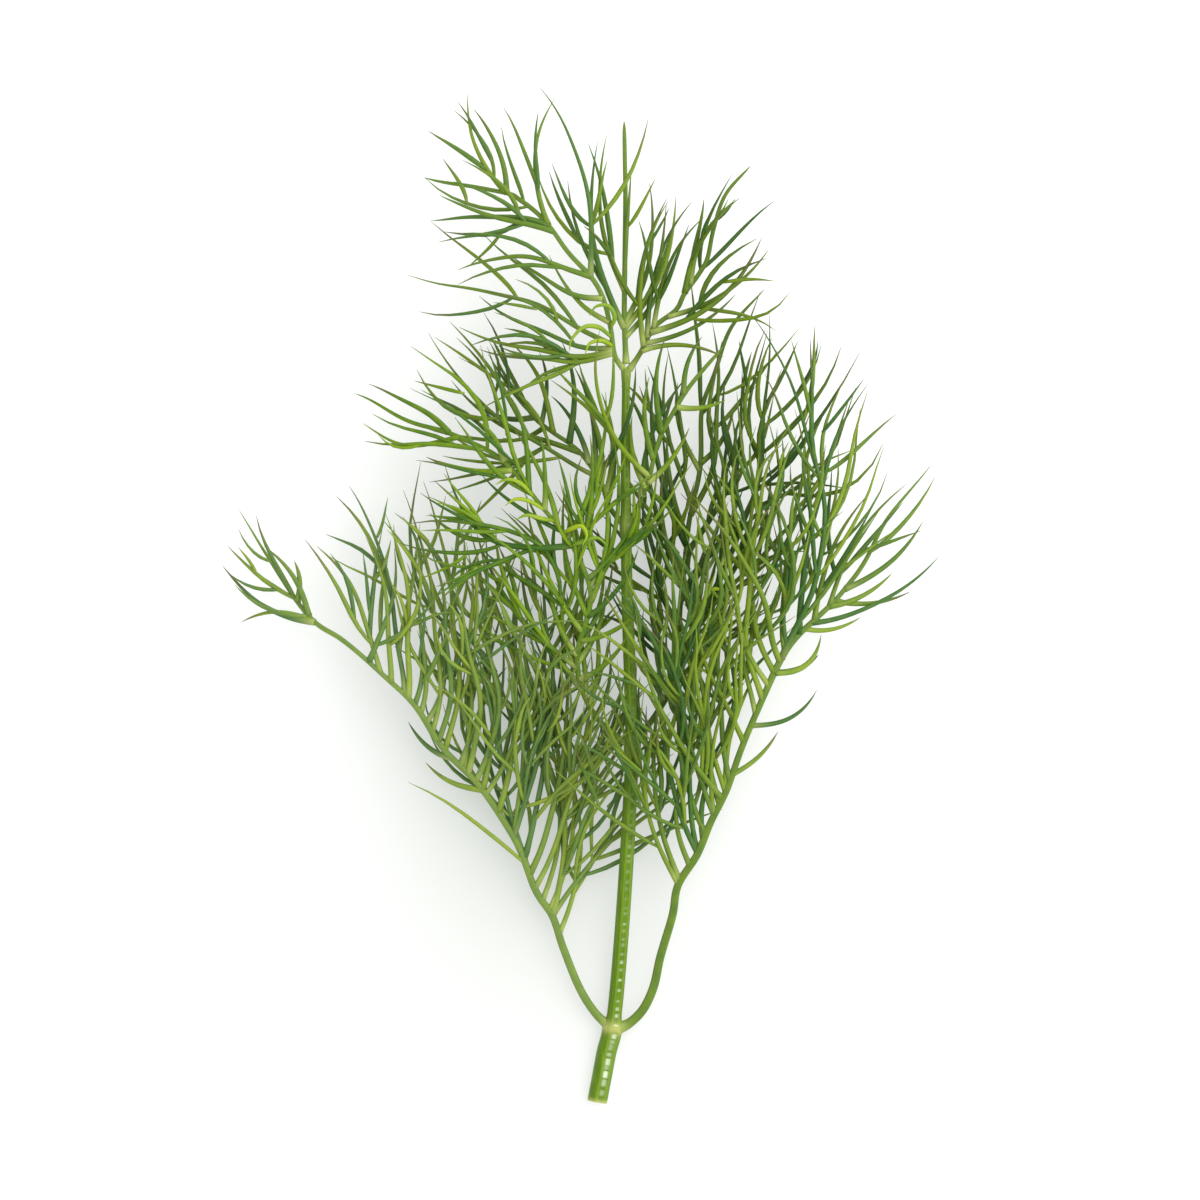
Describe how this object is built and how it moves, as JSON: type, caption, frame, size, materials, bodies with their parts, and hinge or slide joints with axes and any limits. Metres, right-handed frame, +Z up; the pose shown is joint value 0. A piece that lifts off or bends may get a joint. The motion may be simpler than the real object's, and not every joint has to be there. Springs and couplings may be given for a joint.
{
  "type": "dill sprig",
  "caption": "Cut sprig of fresh dill lying flat, with a ribbed green stem, four pairs of feathery fronds and a feathery top.",
  "frame": {"origin": "middle of the sprig's outline, on the surface that it lies on", "axes": "+Z up from the surface, +Y along the stem towards the feathery top, cut end at -Y, +X to the right seen from above"},
  "size_m": [0.1204, 0.1698, 0.0214],
  "materials": {
    "stem": "satin",
    "frond": "satin"
  },
  "bodies": {
    "root": {"stem": "stem", "lower_left": "frond", "lower_right": "frond", "second_left": "frond", "second_right": "frond", "third_left": "frond", "third_right": "frond", "fourth_left": "frond", "fourth_right": "frond", "top_frond": "frond"}
  },
  "joints": []
}
